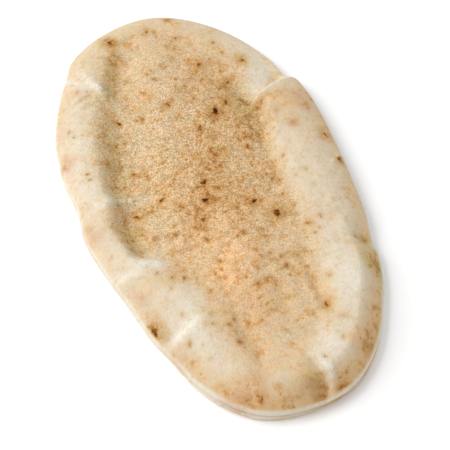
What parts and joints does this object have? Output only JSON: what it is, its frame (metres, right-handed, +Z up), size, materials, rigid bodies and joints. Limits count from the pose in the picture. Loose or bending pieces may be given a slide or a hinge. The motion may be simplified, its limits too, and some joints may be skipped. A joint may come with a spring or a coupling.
{
  "type": "pita bread",
  "caption": "Oval pocket flatbread lying flat, with a puffed, pinched rim round a toasted, slightly raised middle and a rounded side with a faint seam.",
  "frame": {"origin": "on the surface the bread lies on, under the centre of its outline", "axes": "+Y along the bread towards its flat, thin end, +X across it towards the wide side of the rim, +Z up out of the toasted face"},
  "size_m": [0.116, 0.2103, 0.0134],
  "materials": {
    "crust": "matt baked crust: pale cream dough on the rim, golden and finely grained in the middle, with small scorch marks"
  },
  "bodies": {
    "root": {"pita": "crust"}
  },
  "joints": []
}
